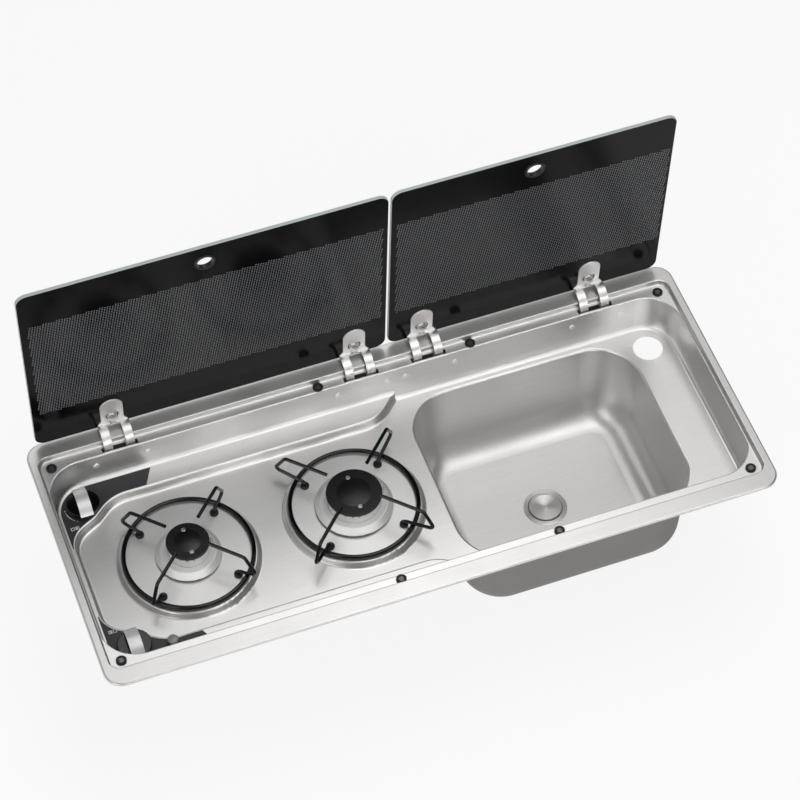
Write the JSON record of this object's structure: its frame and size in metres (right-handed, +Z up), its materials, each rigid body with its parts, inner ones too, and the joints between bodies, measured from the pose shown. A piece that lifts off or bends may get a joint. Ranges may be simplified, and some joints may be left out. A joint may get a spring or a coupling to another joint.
{
  "type": "hob and sink unit",
  "caption": "Inset kitchen unit of one pressed steel top with a gas hob and a sink bowl under folding glass lids, for a compact worktop.",
  "frame": {"origin": "middle of the rim, on the worktop plane that the rim stands on", "axes": "+X from the hob to the sink, +Y towards the lids' hinges, +Z up"},
  "size_m": [0.76, 0.327, 0.4803],
  "materials": {
    "stainless": "satin drawn stainless sheet",
    "foam": "closed-cell foam",
    "rubber": "matte black",
    "zinc_steel": "zinc plated",
    "black_glass": "toughened glass printed black and opaque, polished edge",
    "black_plastic": "fine satin",
    "silver_paint": "satin silver",
    "cast_aluminium": "pale matte casting",
    "black_enamel": "satin enamel",
    "brass": "machined",
    "copper": "drawn tube",
    "ceramic": "glazed white ceramic",
    "plate_print": "printed charcoal",
    "silicone": "insulated lead",
    "black_steel": "black powder coat",
    "waste_plastic": "moulded"
  },
  "bodies": {
    "base": {"burner_body_left": "cast_aluminium", "burner_body_right": "cast_aluminium", "burner_skirt_left": "cast_aluminium", "burner_skirt_right": "cast_aluminium", "button_spring": "zinc_steel", "control_plate_front": "plate_print", "control_plate_rear": "plate_print", "electrodes": "ceramic", "feed_pipe_left": "copper", "feed_pipe_right": "copper", "fixing_screws": "zinc_steel", "gas_rail": "zinc_steel", "hinge_brackets": "black_steel", "hinge_pins": "zinc_steel", "hinge_rivets": "zinc_steel", "hinge_washers": "zinc_steel", "ignition_leads": "silicone", "ignition_switch": "black_plastic", "injectors": "brass", "lid_buffers": "rubber", "pan_grommets": "rubber", "pipe_nuts": "brass", "pressed_top": "stainless", "rim_seal": "foam", "spark_generator": "black_plastic", "tap_body_front": "brass", "tap_body_rear": "brass", "thermocouples": "copper", "waste_body": "waste_plastic", "waste_flange": "stainless", "waste_screw": "stainless", "waste_seal": "rubber", "waste_strainer": "stainless"},
    "lid_left": {"lid_glass_left": "black_glass", "grip_grommet_left": "black_plastic", "hinge_arms_left": "stainless", "hinge_screws_left": "zinc_steel", "hinge_nuts_left": "black_plastic"},
    "pan_support_left": {"pan_support_left": "black_enamel"},
    "burner_head_left": {"burner_crown_left": "cast_aluminium", "burner_cap_left": "black_enamel", "cap_screws_left": "zinc_steel"},
    "lid_right": {"lid_glass_right": "black_glass", "grip_grommet_right": "black_plastic", "hinge_arms_right": "stainless", "hinge_screws_right": "zinc_steel", "hinge_nuts_right": "black_plastic"},
    "pan_support_right": {"pan_support_right": "black_enamel"},
    "burner_head_right": {"burner_crown_right": "cast_aluminium", "burner_cap_right": "black_enamel", "cap_screws_right": "zinc_steel"},
    "tap_push_rear": {"tap_rod_rear": "zinc_steel"},
    "knob_rear": {"knob_disc_rear": "black_plastic", "knob_handle_rear": "silver_paint", "tap_stem_rear": "brass"},
    "tap_push_front": {"tap_rod_front": "zinc_steel"},
    "knob_front": {"knob_disc_front": "black_plastic", "knob_handle_front": "silver_paint", "tap_stem_front": "brass"},
    "ignition_button": {"ignition_button": "silver_paint"}
  },
  "joints": [
    {"name": "lid_left_hinge", "type": "hinge", "parent": "base", "child": "lid_left", "pos_m": [0, 0.1523, -0.0079], "axis": [-1, 0, 0], "range_deg": [-87, 0]},
    {"name": "lid_right_hinge", "type": "hinge", "parent": "base", "child": "lid_right", "pos_m": [0, 0.1523, -0.0079], "axis": [-1, 0, 0], "range_deg": [-87, 0]},
    {"name": "pan_support_left_lift", "type": "slide", "parent": "base", "child": "pan_support_left", "axis": [0, 0, 1], "range_m": [0, 0.06]},
    {"name": "pan_support_right_lift", "type": "slide", "parent": "base", "child": "pan_support_right", "axis": [0, 0, 1], "range_m": [0, 0.06]},
    {"name": "burner_head_left_lift", "type": "slide", "parent": "base", "child": "burner_head_left", "axis": [0, 0, 1], "range_m": [0, 0.03]},
    {"name": "burner_head_right_lift", "type": "slide", "parent": "base", "child": "burner_head_right", "axis": [0, 0, 1], "range_m": [0, 0.03]},
    {"name": "knob_rear_push", "type": "slide", "parent": "base", "child": "tap_push_rear", "axis": [0, 0, -1], "range_m": [0, 0.003], "stiffness_N_per_m": 800, "springref_m": -0.004},
    {"name": "knob_rear_turn", "type": "hinge", "parent": "tap_push_rear", "child": "knob_rear", "pos_m": [-0.3345, 0.096, -0.037], "axis": [0, 0, 1], "range_deg": [0, 210]},
    {"name": "knob_front_push", "type": "slide", "parent": "base", "child": "tap_push_front", "axis": [0, 0, -1], "range_m": [0, 0.003], "stiffness_N_per_m": 800, "springref_m": -0.004},
    {"name": "knob_front_turn", "type": "hinge", "parent": "tap_push_front", "child": "knob_front", "pos_m": [-0.3345, -0.096, -0.037], "axis": [0, 0, 1], "range_deg": [0, 210]},
    {"name": "ignition_push", "type": "slide", "parent": "base", "child": "ignition_button", "axis": [0, 0, -1], "range_m": [0, 0.002], "stiffness_N_per_m": 600, "springref_m": -0.002, "deforming": ["button_spring"]}
  ]
}
